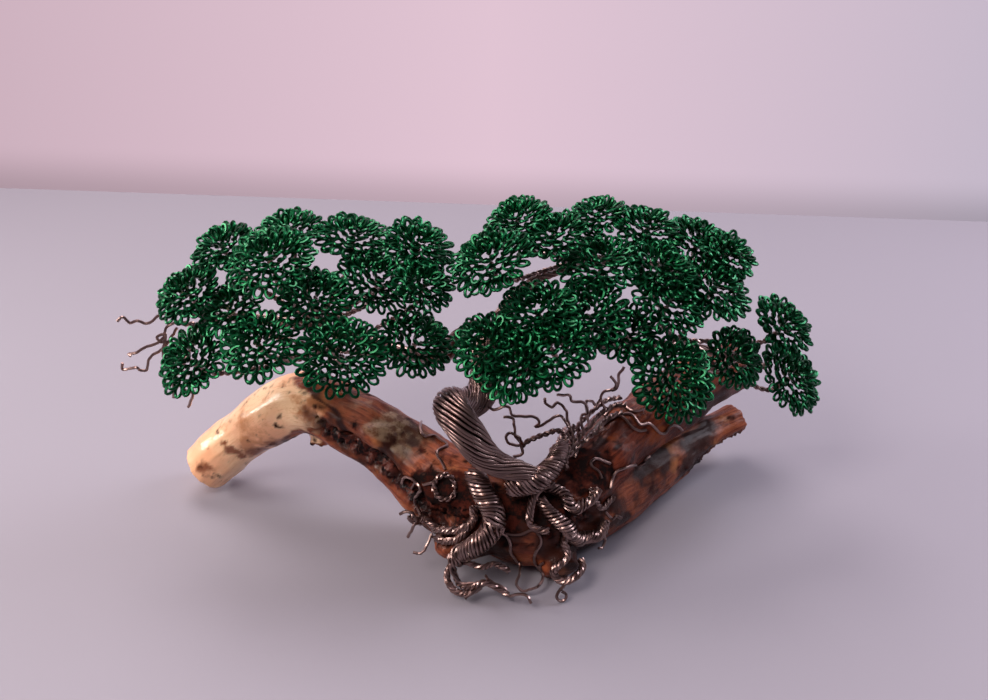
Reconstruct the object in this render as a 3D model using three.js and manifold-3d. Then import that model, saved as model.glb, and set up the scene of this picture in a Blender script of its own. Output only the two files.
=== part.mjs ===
// A wire tree on driftwood. Coloured craft wires are bunched and twisted into a trunk, split into
// branches that carry domed rosettes of green wire loops, and fan out below into roots that grip a
// forked, varnished piece of driftwood. Millimetres, +Z up, the driftwood's sanded feet on Z = 0.
import * as THREE from "three";
import { mergeVertices } from "three/addons/utils/BufferGeometryUtils.js";
import Module from "manifold-3d";

const wasm = await Module();
wasm.setup();

// ---------------------------------------------------------------- driving dimensions
const GAP = 0.35; // clearance kept between neighbouring pieces
const WIRE = 1.15; // diameter of one wire, green or brown
const TWIG = WIRE; // radius of two wires twisted together
const DOME_RISE = 0.5; // height of a rosette's dome over its rim radius
const DOME_SHELL = 1.4; // thickness of the layer of loops in a rosette
const TRUNK = 6.4; // radius of the whole bunch of wires
const LIMB = 12.5; // usual radius of the driftwood

const WOOD = { color: "#7c4a2c", roughness: 0.45, metalness: 0 };
const BARK = { color: "#4a3330", roughness: 0.35, metalness: 0.6 };
const LEAF = { color: "#0f6b3c", roughness: 0.3, metalness: 0.4 };

// ---------------------------------------------------------------- solids from three.js geometry
const vec = (p) => new THREE.Vector3(p[0], p[1], p[2]);

function solidOf(geometry) {
  const bare = new THREE.BufferGeometry();
  bare.setAttribute("position", geometry.getAttribute("position"));
  if (geometry.index) bare.setIndex(geometry.index);
  const merged = mergeVertices(bare, 1e-4);
  const vertProperties = new Float32Array(merged.attributes.position.array);
  const triVerts = new Uint32Array(merged.index.array);
  return new wasm.Manifold(new wasm.Mesh({ numProp: 3, vertProperties, triVerts }));
}

function geometryOf(solid) {
  const mesh = solid.getMesh();
  const geometry = new THREE.BufferGeometry();
  geometry.setAttribute("position", new THREE.BufferAttribute(mesh.vertProperties, 3));
  geometry.setIndex(new THREE.BufferAttribute(mesh.triVerts, 1));
  return geometry;
}

// A wire or rope of one thickness: a round section extruded along a smooth curve.
function rope(points, radius, sides = 8, pitch = 3) {
  const path = new THREE.CatmullRomCurve3(points.map(vec), false, "centripetal");
  const section = new THREE.Shape();
  for (let i = 0; i < sides; i++) {
    const turn = (2 * Math.PI * i) / sides;
    const corner = [radius * Math.cos(turn), radius * Math.sin(turn)];
    if (i) section.lineTo(...corner);
    else section.moveTo(...corner);
  }
  section.closePath();
  const steps = Math.max(2, Math.round(path.getLength() / pitch));
  return solidOf(new THREE.ExtrudeGeometry(section, { steps, extrudePath: path, bevelEnabled: false }));
}

// A tapering limb: a cylinder bent along a smooth curve through [x, y, z, radius] stations.
function limb(stations, grow = 0, sides = 12, pitch = 6) {
  const path = new THREE.CatmullRomCurve3(stations.map(vec), false, "centripetal");
  const girth = new THREE.CatmullRomCurve3(
    stations.map((s, i) => new THREE.Vector3(i, s[3], 0)), false, "centripetal");
  const steps = Math.max(3, Math.round(path.getLength() / pitch));
  const rings = [];
  let normal = new THREE.Vector3(0.1, 0, 1);
  for (let i = 0; i <= steps; i++) {
    const tangent = path.getTangent(i / steps);
    normal = normal.clone().addScaledVector(tangent, -normal.dot(tangent)).normalize();
    const centre = path.getPoint(i / steps);
    if (i === 0) centre.addScaledVector(tangent, -grow);
    if (i === steps) centre.addScaledVector(tangent, grow);
    const radius = girth.getPoint(i / steps).y + grow;
    rings.push({ centre, radius, up: normal, across: new THREE.Vector3().crossVectors(tangent, normal) });
  }
  const geometry = new THREE.CylinderGeometry(1, 1, 1, sides, steps);
  const position = geometry.getAttribute("position");
  for (let v = 0; v < position.count; v++) {
    const ring = rings[Math.round((position.getY(v) + 0.5) * steps)];
    const p = ring.centre.clone();
    p.addScaledVector(ring.up, position.getX(v) * ring.radius);
    p.addScaledVector(ring.across, -position.getZ(v) * ring.radius);
    position.setXYZ(v, p.x, p.y, p.z);
  }
  const solid = solidOf(geometry);
  if (solid.volume() < 0) throw new Error("limb turned inside out");
  return solid;
}

// A burl or knot: a squashed ball.
function burl(centre, radii, grow = 0) {
  const geometry = new THREE.SphereGeometry(1, 12, 8);
  geometry.scale(radii[0] + grow, radii[1] + grow, radii[2] + grow);
  geometry.translate(...centre);
  return solidOf(geometry);
}

// The layer of loops in a rosette: a thin dome, faced along a direction.
function dome(centre, rim, facing, grow = 0) {
  const rise = rim * DOME_RISE;
  const arc = (radius, height) => {
    const ball = (radius * radius + height * height) / (2 * height);
    const half = Math.asin(radius / ball);
    const at = (turn) => new THREE.Vector2(ball * Math.sin(turn), ball * Math.cos(turn) - ball + height);
    return [new THREE.Vector2(0, height), at(half / 2), at(half)];
  };
  const inner = arc(rim - DOME_SHELL - grow, rise - DOME_SHELL - grow);
  const outer = arc(rim + grow, rise + grow);
  inner[2].y -= grow;
  const hem = grow ? [new THREE.Vector2(rim + grow, -grow)] : []; // a grown dome reaches below its rim
  const profile = [...inner, ...hem, ...outer.reverse()];
  const geometry = new THREE.LatheGeometry(profile, 10);
  geometry.applyQuaternion(new THREE.Quaternion().setFromUnitVectors(new THREE.Vector3(0, 1, 0), facing));
  geometry.translate(...centre);
  return solidOf(geometry);
}

// ---------------------------------------------------------------- assembly order
// Each piece is trimmed clear of the pieces placed before it, so that neighbours never overlap.
const tree = new THREE.Group();
const placed = [];

function place(name, finish, shape) {
  let solid = shape(0);
  const box = solid.boundingBox();
  for (const other of placed) {
    const apart = [0, 1, 2].some((k) =>
      other.box.min[k] > box.max[k] + GAP || other.box.max[k] < box.min[k] - GAP);
    if (!apart) solid = solid.subtract(other.shape(GAP));
  }
  solid = solid.decompose().sort((a, b) => b.volume() - a.volume())[0];
  placed.push({ shape, box: shape(0).boundingBox() });
  const mesh = new THREE.Mesh(geometryOf(solid), new THREE.MeshStandardMaterial(finish));
  mesh.name = name;
  tree.add(mesh);
}

const placeRope = (name, radius, points, sides, pitch) =>
  place(name, BARK, (grow) => rope(points, radius + grow, sides, pitch));

// ---------------------------------------------------------------- trunk and main branches
// The bunch rises from the roots, curls over to the left, drops behind itself and climbs to the fork.
place("trunk_sweep", BARK, (grow) => limb([
  [27, -32, 42, 5.2], [19, -33, 45.5, 5.2], [12, -33, 48.5, 5.4], [6, -33, 53.5, 5.9],
  [2, -32, 59.5, TRUNK], [-2, -29.5, 64.5, TRUNK], [-5, -25, 66.5, TRUNK], [-5, -20, 65, TRUNK]],
  grow, 12, 4));
place("trunk_neck", BARK, (grow) => limb([
  [-3.5, -13, 62, 6.2], [0, -7, 58, 6.2], [5, -1, 58, 6], [7, 3, 65, 5.6], [7, 7, 73, 5.2],
  [11, 11, 80, 4.6]], grow, 12, 4));

place("branch_left", BARK, (grow) => limb([
  [4, 12, 81, 1.7], [-2, 12, 78, 1.9], [-6, 12.5, 73.5, 2.4], [-8, 14, 68, 3.2], [-13, 17, 64, 3.2],
  [-25, 20, 64, 2.6], [-45, 23, 69, 2.3],
  [-66, 23, 75, 2.0], [-88, 21, 79, 1.6], [-102, 18, 80, 1.4]], grow, 8, 5));
place("branch_right", BARK, (grow) => limb([
  [16, 13, 77, 2.7], [30, 17, 72, 2.6], [51, 18, 69, 2.4], [75, 21, 67, 2.1], [100, 23, 62, 1.7],
  [118, 22, 56, 1.4]], grow, 8, 5));
place("branch_back", BARK, (grow) => limb([
  [12, 14, 83, 2.6], [21, 23, 90, 2.5], [36, 29, 96, 2.3], [59, 32, 98, 2.0], [84, 33, 93, 1.6]],
  grow, 8, 5));

// ---------------------------------------------------------------- roots
// Ropes of wire run out from the root crown, lie on the driftwood and end in single crinkled wires.
placeRope("root_coil", 4.4, [
  [4, -31, 39.5], [7, -34, 34.5], [10, -37.5, 29.5], [8.5, -41, 25], [3, -41.5, 20], [-1, -40, 16]], 10, 2.5);
placeRope("root_belt", 2.8, [
  [27, -35, 34], [29.5, -37, 31], [33, -38, 27.5], [36.5, -37.5, 23], [40.5, -35.5, 18], [45, -32.5, 13.5],
  [49, -29, 12.5], [51, -26, 15]]);
place("root_side", BARK, (grow) => {
  const cross = rope([
    [26, -28, 38.5], [30, -28, 36.5], [34.5, -28.5, 33], [38, -31.5, 29.5], [42, -32, 27.5], [46, -28.5, 28],
    [49, -24, 31]], 2 + grow, 8, 3);
  const drop = rope([
    [27, -32, 38], [24, -35, 35], [23, -38, 32], [23, -40, 28.5], [25.5, -41, 25.5], [30, -41, 25]], 1.6 + grow, 8, 3);
  return cross.add(drop);
});
placeRope("root_spur", 1.6, [
  [35, -37, 20], [36, -40, 17.5], [36.5, -43, 14.5], [34.5, -45, 13.5], [32, -46.5, 12], [32, -47, 9],
  [35.5, -48, 7.5], [40, -46, 8.5], [42.5, -42, 9]]);
placeRope("root_fan", 3.2, [
  [30, -21, 39], [34, -13, 40.5], [39, -4, 42], [47, 4, 44], [56, 12, 45]]);
placeRope("root_left", 1.8, [
  [2, -38, 26.5], [-3, -37, 22.5], [-9, -35, 21], [-14, -30, 17], [-18, -30, 19], [-21, -30, 23]]);
placeRope("root_toe", 1.6, [
  [-1, -45, 11], [-6, -47, 8], [-3, -51, 5], [3, -54, 6], [9, -56, 9], [15, -57, 7]]);
placeRope("root_ring", 1.1, [
  [-4, -28, 34], [-5.5, -25, 37], [-8, -24.5, 38], [-11, -25, 36.5], [-12, -27, 33.5], [-10, -29.5, 31]],
  6, 3);

// ---------------------------------------------------------------- crinkled wires
placeRope("tip_upright", WIRE / 2 + 0.35, [
  [56, 6, 48.5], [57, 3, 54], [60, 3, 60], [63, 3, 65], [65, 4, 69]], 6, 3);
placeRope("tip_loop", WIRE / 2 + 0.35, [
  [38, -15, 44.5], [35, -11, 52], [28, -10, 56], [21, -9, 59], [15, -10, 60]], 6, 3);
placeRope("tip_front", WIRE / 2 + 0.35, [
  [15, -47, 29], [19, -51, 22], [19, -53, 14], [24, -55, 10], [29, -54, 13], [28, -51, 20]], 6, 3);
placeRope("dead_twig_upper", WIRE, [
  [-104, 18, 82], [-111, 17, 83], [-119, 15, 80], [-127, 15, 79], [-135, 14, 81]], 6, 3);
placeRope("dead_twig_middle", WIRE, [
  [-101, 17, 77], [-111, 16, 76], [-119, 14, 70], [-126, 14, 65], [-134, 14, 59]], 6, 3);
placeRope("dead_twig_lower", WIRE, [
  [-98, 19, 76], [-107, 15, 69], [-110, 12, 59], [-108, 11, 52], [-106, 10, 46]], 6, 3);

// ---------------------------------------------------------------- driftwood
// One forked branch: an arched limb on the left, a crook at the front, two limbs on the right and a
// short spur. It is sanded flat where it stands, and lies in grooves under the roots.
function driftwood() {
  const solids = [
    limb([[-110.5, 20, 8.8, LIMB - 1.7], [-91, 20, 26, LIMB - 1.5], [-66, 16, 43, LIMB], [-46, 8, 40, LIMB],
      [-26, -2, 32, LIMB + 1], [-7, -14, 23, LIMB + 3.5], [14, -22, 18.6, LIMB + 5.5],
      [33, -22, 14.7, LIMB + 5]], 0, 14, 8),
    limb([[26, -22, 16, LIMB + 4], [41, -11, 24, LIMB + 1.5], [62, 12, 30.5, LIMB], [91, 34, 38, LIMB],
      [115, 50, 41, LIMB - 2.2]], 0, 14, 8),
    limb([[26, -22, 12, LIMB + 3], [47, -10, 12.4, LIMB + 1.6], [70, 12, 10.5, LIMB], [95, 32, 14, LIMB - 3.5],
      [115, 44, 17, LIMB - 5.5]], 0, 12, 8),
    limb([[30, -24, 13, 10], [33, -33, 8, 9], [35, -40, 5, 6.5]], 0, 10, 6),
    burl([-59, 9, 29], [7, 6, 5]),
    burl([-33, -6, 42], [9, 6, 5]),
    burl([52, -4, 30], [13, 10, 9]),
    burl([0, -33, 14], [13, 7, 8]),
  ];
  const floor = new THREE.BoxGeometry(400, 300, 60);
  floor.translate(0, 0, -30);
  return solids.reduce((sum, solid) => sum.add(solid)).subtract(solidOf(floor));
}
place("driftwood", WOOD, driftwood);

// ---------------------------------------------------------------- rosettes of green loops
// Each is [x, y, z, rim radius] at the middle of its rim. It faces up, to the front, and out from the
// middle of its side of the crown.
const LEFT_CROWN = {
  core: [-58, 15, 74],
  rosettes: [
    [-100, 8, 93, 12.6], [-89, 20, 105.5, 11.8], [-69, 4, 107.5, 14], [-65.5, 24, 109.5, 11.4],
    [-43.5, 26, 106.5, 12], [-19, 18, 107.5, 11.8], [-34, 10, 97, 13.5], [-98, -6, 73.5, 12.4],
    [-72, -12, 83.5, 12.6], [-44, -16, 81.5, 13.8], [-20, -4, 80, 12.6], [-54, 0, 95, 12.4],
    [-84, 2, 90, 11.6], [-16.5, 2, 99.5, 10.8]],
};
const RIGHT_CROWN = {
  core: [57, 15, 76],
  rosettes: [
    [10, 6, 107, 13.2], [19.5, 26, 112.5, 12.4], [32.5, 16, 112, 11], [49.5, 32, 112.5, 11],
    [67, 28, 109, 12.6], [86, 30, 104, 12], [95.5, 22, 102, 11.8], [70.5, 10, 101, 13],
    [89, 10, 94, 13.2], [72, 0, 94, 12.4], [117, 14, 76.5, 12.8], [122.5, 14, 54, 14],
    [72.5, -18, 74, 14.4], [97.5, 2, 70, 12], [9.5, -14, 84, 12], [18.5, -22, 81, 12],
    [31.5, -18, 84.5, 12.6], [26.5, -8, 94, 13], [44, -6, 91.5, 13.4], [57.5, -6, 85, 10.8],
    [48.5, 10, 103.5, 12.6]],
};
for (const [side, crown] of [["left", LEFT_CROWN], ["right", RIGHT_CROWN]]) {
  crown.rosettes.forEach((rosette, i) => {
    const outward = vec(rosette).sub(vec(crown.core)).normalize();
    const facing = new THREE.Vector3(0, -0.36, 0.93).addScaledVector(outward, 0.6).normalize();
    rosette.facing = facing;
    const name = `rosette_${side}_${String(i + 1).padStart(2, "0")}`;
    place(name, LEAF, (grow) => dome(rosette.slice(0, 3), rosette[3], facing, grow));
  });
}

// ---------------------------------------------------------------- twigs
// The two ends of each rosette's wire, twisted together, run from its hollow side to a main branch.
// The twigs that leave a branch together are one spray.
function spray(name, root, crown, numbers) {
  place(name, BARK, (grow) => numbers.map((number) => {
    const rosette = crown.rosettes[number - 1];
    const seat = vec(rosette);
    const neck = seat.clone().addScaledVector(rosette.facing, -8);
    const middle = vec(root).lerp(neck, 0.5);
    seat.addScaledVector(rosette.facing, rosette[3] * DOME_RISE - DOME_SHELL - GAP - grow);
    return rope([root, middle.toArray(), neck.toArray(), seat.toArray()], TWIG + grow, 5, 10);
  }).reduce((sum, twig) => sum.add(twig)));
}
spray("twigs_left_upper", [-58, 19, 78], LEFT_CROWN, [1, 2, 3, 4, 5, 6, 7]);
spray("twigs_left_lower", [-53, 17, 67], LEFT_CROWN, [8, 9, 10, 11, 12, 13, 14]);
spray("twigs_right_upper", [47, 28, 101], RIGHT_CROWN, [1, 2, 3, 4, 5, 6, 7]);
spray("twigs_right_outer", [80, 17, 71], RIGHT_CROWN, [8, 9, 10, 11, 12, 13, 14]);
spray("twigs_right_lower", [30, 13, 77], RIGHT_CROWN, [15, 16, 17, 18, 19, 20, 21]);

export default tree;
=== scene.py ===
"""A small tree of coloured craft wire, twisted by hand and wrapped onto a forked piece of driftwood."""
import math
import random

import bpy
import numpy as np
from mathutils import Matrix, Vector, noise
from mathutils.bvhtree import BVHTree


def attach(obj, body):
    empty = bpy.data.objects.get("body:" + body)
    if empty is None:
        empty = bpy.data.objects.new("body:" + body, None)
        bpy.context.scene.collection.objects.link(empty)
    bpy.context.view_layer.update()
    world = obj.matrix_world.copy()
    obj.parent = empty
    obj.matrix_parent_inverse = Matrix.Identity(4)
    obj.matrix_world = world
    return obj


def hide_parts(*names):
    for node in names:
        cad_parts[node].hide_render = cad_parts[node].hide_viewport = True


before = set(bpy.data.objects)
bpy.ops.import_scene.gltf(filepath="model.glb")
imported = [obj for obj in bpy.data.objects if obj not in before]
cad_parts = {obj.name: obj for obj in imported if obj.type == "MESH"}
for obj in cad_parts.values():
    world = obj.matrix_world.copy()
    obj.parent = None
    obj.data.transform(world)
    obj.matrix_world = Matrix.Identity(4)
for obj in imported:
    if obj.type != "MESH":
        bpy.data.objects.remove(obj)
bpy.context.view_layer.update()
bpy.ops.object.select_all(action="DESELECT")
scene = bpy.context.scene

# ------------------------------------------------------------------ table, light and camera
# A pale lavender table top with a back edge, and a soft rosy room behind it. A large window light
# hangs behind the tree, and smaller ones fill in from the front, the right and the left. The camera
# looks down from the front.
MM = 0.001
TABLE_COLOURS = ["#89858d", "#8e8a92"]
ROOM_COLOURS = ["#cfb3c0", "#e6c9d8", "#c6bccd"]
BRIGHT_SIDE = (-0.25, 0.85, 0.45)
TABLE_EDGE_SLANT = 0.038
TABLE_CORNERS = [(-1900, -1500), (1900, -1500), (-1900, 500), (1900, 158)]
EYE = (10, -338.4, 272)
EYE_PITCH = 60  # degrees up from straight down
EYE_HALF_WIDTH = 25  # degrees from the middle of the view to its side
SENSOR = 36


def linear(hex_colour, alpha=1.0):
    """An sRGB hex colour as the linear values that a shader takes."""
    parts = [int(hex_colour[i:i + 2], 16) / 255 for i in (1, 3, 5)]
    return [c / 12.92 if c <= 0.04045 else ((c + 0.055) / 1.055) ** 2.4 for c in parts] + [alpha]


def node(tree, kind, inputs=None, **settings):
    """Adds a shader node, sets its settings, and sets or links its inputs."""
    made = tree.nodes.new(kind)
    for name, value in settings.items():
        setattr(made, name, value)
    for name, value in (inputs or {}).items():
        if isinstance(value, bpy.types.NodeSocket):
            tree.links.new(value, made.inputs[name])
        else:
            made.inputs[name].default_value = value
    return made


def new_material(name):
    """A new material, its node tree and its Principled shader."""
    material = bpy.data.materials.new(name)
    material.use_nodes = True
    tree = material.node_tree
    return material, tree, tree.nodes["Principled BSDF"]


def matt_laminate():
    """Laminated board: a flat, matt, faintly mottled sheet."""
    material, tree, shader = new_material("matt_laminate")
    place = node(tree, "ShaderNodeTexCoord").outputs["Object"]
    mottle = node(tree, "ShaderNodeTexNoise", {"Vector": place, "Scale": 3.0, "Detail": 2.0})
    ramp = node(tree, "ShaderNodeMix", {"Factor": mottle.outputs["Fac"]}, data_type="RGBA")
    ramp.inputs["A"].default_value = linear(TABLE_COLOURS[0])
    ramp.inputs["B"].default_value = linear(TABLE_COLOURS[1])
    tree.links.new(ramp.outputs["Result"], shader.inputs["Base Color"])
    shader.inputs["Roughness"].default_value = 0.6
    shader.inputs["Specular IOR Level"].default_value = 0.3
    return material


bpy.ops.mesh.primitive_plane_add(size=2, location=(0, 0, 0))
table = bpy.context.object
table.name = "table_top"
for vertex, (x, y) in zip(table.data.vertices, TABLE_CORNERS):
    vertex.co = (x * MM, y * MM, 0)
table.data.materials.append(matt_laminate())

world = bpy.data.worlds.new("rosy_room")
world.use_nodes = True
sky = world.node_tree
towards = node(sky, "ShaderNodeTexCoord").outputs["Generated"]
parts = node(sky, "ShaderNodeSeparateXYZ", {"Vector": towards})
ahead = node(sky, "ShaderNodeMath", {0: parts.outputs["Y"], 1: 0.05}, operation="MAXIMUM").outputs["Value"]
across = node(sky, "ShaderNodeMath", {0: parts.outputs["X"], 1: ahead}, operation="DIVIDE").outputs["Value"]
height = node(sky, "ShaderNodeMath", {0: parts.outputs["Z"], 1: ahead}, operation="DIVIDE").outputs["Value"]
# the wall is dimmer just above the table's back edge, and brighter towards the window
slant = node(sky, "ShaderNodeMath", {0: across, 1: TABLE_EDGE_SLANT, 2: height},
             operation="MULTIPLY_ADD").outputs["Value"]
dusk = node(sky, "ShaderNodeMapRange", {"Value": slant, "From Min": -0.412, "From Max": -0.36,
                                        "To Min": 0.7, "To Max": 1.0}, interpolation_type="SMOOTHSTEP")
tint = node(sky, "ShaderNodeMapRange", {"Value": across, "From Min": -0.55, "From Max": 0.55})
wall = node(sky, "ShaderNodeValToRGB", {"Fac": tint.outputs["Result"]})
wall.color_ramp.elements.new(0.5)
for element, colour in zip(wall.color_ramp.elements, ROOM_COLOURS):
    element.color = linear(colour)
lit_side = node(sky, "ShaderNodeVectorMath", {0: towards, 1: BRIGHT_SIDE}, operation="DOT_PRODUCT")
share = node(sky, "ShaderNodeMapRange", {"Value": lit_side.outputs["Value"], "From Min": -0.3,
                                         "From Max": 0.5, "To Min": 0.2, "To Max": 0.95},
             interpolation_type="SMOOTHSTEP")
glow = node(sky, "ShaderNodeMath", {0: share.outputs["Result"], 1: dusk.outputs["Result"]},
            operation="MULTIPLY")
sky.links.new(wall.outputs["Color"], sky.nodes["Background"].inputs["Color"])
sky.links.new(glow.outputs["Value"], sky.nodes["Background"].inputs["Strength"])
scene.world = world
scene.view_settings.view_transform = "Standard"

LAMPS_AIM = (0, 0, 50)
LAMPS = [  # name, place and size in mm, watts and colour
    ("window_light", (-200, 440, 760), 420, 5.0, "#fff5f7"),
    ("front_light", (-230, -300, 540), 240, 2.5, "#fff3ee"),
    ("fill_light", (540, 160, 440), 300, 3.2, "#f4f2ff"),
    ("side_light", (-640, 30, 300), 200, 2.6, "#fffaf4"),
]
for name, place, size, watts, colour in LAMPS:
    lamp = bpy.data.lights.new(name, "AREA")
    lamp.size = size * MM
    lamp.energy = watts
    lamp.color = linear(colour)[:3]
    holder = bpy.data.objects.new(name, lamp)
    scene.collection.objects.link(holder)
    holder.location = Vector(place) * MM
    holder.rotation_euler = (Vector(LAMPS_AIM) - Vector(place)).to_track_quat("-Z", "Y").to_euler()

camera_data = bpy.data.cameras.new("eye")
camera_data.sensor_width = SENSOR
camera_data.lens = SENSOR / 2 / math.tan(math.radians(EYE_HALF_WIDTH))
camera_data.clip_start = 0.01
camera = bpy.data.objects.new("eye", camera_data)
scene.collection.objects.link(camera)
camera.location = Vector(EYE) * MM
camera.rotation_euler = (math.radians(EYE_PITCH), 0, 0)
scene.camera = camera

# ------------------------------------------------------------------ driftwood
# One forked branch, weathered, stripped of its bark and varnished. Its left end is pale sapwood and the
# rest is red-brown, with a rotted trough along the front; the hollows under the roots are painted near-black
# as shade.
# It is sawn flat where it stands.
LEFT_LIMB = [
    (-110.5, 20, 8.8, 10.8), (-91, 20, 26, 11), (-66, 16, 43, 12.5), (-46, 8, 40, 12.5),
    (-26, -2, 32, 13.5), (-7, -14, 23, 16), (14, -22, 18.6, 18), (33, -22, 14.7, 17.5)]
UPPER_LIMB = [(26, -22, 16, 16.5), (41, -11, 24, 14), (62, 12, 30.5, 12.5), (91, 34, 38, 12.5),
              (115, 50, 41, 10.3)]
LOWER_LIMB = [(26, -22, 12, 15.5), (47, -10, 12.4, 14.1), (70, 12, 10.5, 12.5), (95, 32, 14, 9),
              (115, 44, 17, 7)]
FRONT_SPUR = [(30, -24, 13, 10), (33, -33, 8, 9), (35, -40, 5, 6.5)]
BURLS = [((-59, 10, 31), (5, 5, 4)), ((-33, -6, 42), (9, 6, 5)), ((52, -4, 30), (13, 10, 9)),
         ((0, -33, 14), (13, 7, 8))]
KNOTS = [  # place, radius and height of each knot or broken twig stub
    ((-31, -1, 55.5), 2.4, 1.0), ((-27, 5, 55.5), 1.6, 2.4), ((-24, -8, 47), 2.6, 1.2),
    ((-58, 5, 28), 1.8, 1.2), ((-63, 8, 28), 1.5, 1.4), ((58, 2, 36), 3.2, 0.9), ((84, 22, 44), 2.4, 0.8)]
STAINS = [  # place and radius of each brown stain on the pale wood
    ((-107, 11, 15), 4.5), ((-95, 10, 24), 4), ((-91.5, 9, 20), 3.4), ((-87, 12, 34), 1.6),
    ((-84, 9, 22), 7), ((-76, 8, 28), 7), ((-70, 8, 32), 4), ((-98, 12, 27), 2)]
PAINTED_SHADE_HOLLOWS = [  # place and radius of each hollow painted near-black as shade
    ((6, -36, 30), 12), ((-12, -26, 30), 9), ((44, -15, 34), 9), ((30, -33, 30), 9), ((24, -8, 36), 9)]
ROTTED = [  # place, radii and depth of each rotted hollow
    ((6, -34, 27), (9, 8, 5), 0.9), ((41, -24, 22), (6, 9, 5), 1.0)]
PALE_EDGE = (-61, -56)  # along x, as all the edges below
TROUGH_LEFT_EDGE = (-66, -55)
TROUGH_RIGHT_EDGE = (-14, 2)
TROUGH_TURN = 1.6  # radians round the limb, from its upper side to its front
END_ROT_EDGE = (84, 100)
RIDGE_MIDDLE = -32
RIDGE_LENGTH = 13
WOOD_VOXEL = 0.85


def smooth(points, step):
    """A smooth curve through the points, sampled about every `step`; a fourth value is carried along."""
    given = np.array(points, float)
    ends = [2 * given[0] - given[1], 2 * given[-1] - given[-2]]
    knots = np.vstack([ends[0], given, ends[1]])
    samples = []
    for p0, p1, p2, p3 in zip(knots, knots[1:], knots[2:], knots[3:]):
        spans = [max(np.linalg.norm((b - a)[:3]), 1e-6) ** 0.5 for a, b in ((p0, p1), (p1, p2), (p2, p3))]
        t1 = spans[0]
        t2 = t1 + spans[1]
        t3 = t2 + spans[2]
        count = max(1, round(np.linalg.norm((p2 - p1)[:3]) / step))
        for i in range(count):
            t = t1 + (t2 - t1) * i / count
            a1 = (t1 - t) / t1 * p0 + t / t1 * p1
            a2 = (t2 - t) / (t2 - t1) * p1 + (t - t1) / (t2 - t1) * p2
            a3 = (t3 - t) / (t3 - t2) * p2 + (t - t2) / (t3 - t2) * p3
            b1 = (t2 - t) / t2 * a1 + t / t2 * a2
            b2 = (t3 - t) / (t3 - t1) * a2 + (t - t1) / (t3 - t1) * a3
            samples.append((t2 - t) / (t2 - t1) * b1 + (t - t1) / (t2 - t1) * b2)
    samples.append(given[-1])
    return np.array(samples)


def rods(name, lines, thickness, facets=1):
    """Round rods along lists of points in mm, as one capped mesh. A fourth value scales the thickness."""
    curve = bpy.data.curves.new(name, "CURVE")
    curve.dimensions = "3D"
    curve.bevel_depth = thickness / 2 * MM
    curve.bevel_resolution = facets
    curve.use_fill_caps = True
    for line in lines:
        line = np.asarray(line, float)
        spline = curve.splines.new("POLY")
        spline.points.add(len(line) - 1)
        spline.points.foreach_set("co", np.c_[line[:, :3] * MM, np.ones(len(line))].ravel())
        if line.shape[1] > 3:
            spline.points.foreach_set("radius", line[:, 3])
    piece = bpy.data.objects.new(name, curve)
    scene.collection.objects.link(piece)
    bpy.ops.object.select_all(action="DESELECT")
    piece.select_set(True)
    bpy.context.view_layer.objects.active = piece
    bpy.ops.object.convert(target="MESH")
    piece = bpy.context.object
    bpy.ops.object.shade_smooth_by_angle(angle=math.radians(50))
    return piece


def fit(piece, material, slot, *nodes):
    """Gives a finished piece its material and its place in the frame."""
    piece.data.materials.clear()
    piece.data.materials.append(material)
    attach(piece, "root")
    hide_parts(*nodes)


def apply_modifier(piece, kind, **settings):
    """Adds a modifier, sets it and applies it."""
    modifier = piece.modifiers.new(kind.lower(), kind)
    for key, value in settings.items():
        setattr(modifier, key, value)
    bpy.context.view_layer.objects.active = piece
    bpy.ops.object.modifier_apply(modifier=modifier.name)


def rough_wood():
    """The limbs and burls, grown into one skin."""
    limbs = [smooth(stations, 3) for stations in (LEFT_LIMB, UPPER_LIMB, LOWER_LIMB, FRONT_SPUR)]
    wood = rods("driftwood_branch", limbs, 2, 6)
    for centre, radii in BURLS:
        bpy.ops.mesh.primitive_uv_sphere_add(segments=24, ring_count=12, radius=1)
        burl = bpy.context.object
        burl.scale = Vector(radii) * MM
        burl.location = Vector(centre) * MM
        bpy.ops.object.transform_apply()
        wood.select_set(True)
        bpy.context.view_layer.objects.active = wood
        bpy.ops.object.join()
        bpy.ops.object.select_all(action="DESELECT")
    wood.select_set(True)
    apply_modifier(wood, "REMESH", mode="VOXEL", voxel_size=WOOD_VOXEL * MM)
    apply_modifier(wood, "SMOOTH", factor=0.6, iterations=8)
    return wood, limbs


def ramp_up(value, low, high):
    """0 below low, 1 above high, smooth between."""
    t = np.clip((value - low) / (high - low), 0, 1)
    return t * t * (3 - 2 * t)


def noise_at(points):
    """Smooth noise, about -1 to 1, at each point."""
    return np.array([noise.noise(p) for p in points]) * 1.8


def turbulence_at(points, octaves=4):
    """Rougher noise of several sizes, about -1 to 1, at each point."""
    return np.array([noise.fractal(p, 0.9, 2.1, octaves) for p in points]) * 1.4


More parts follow.
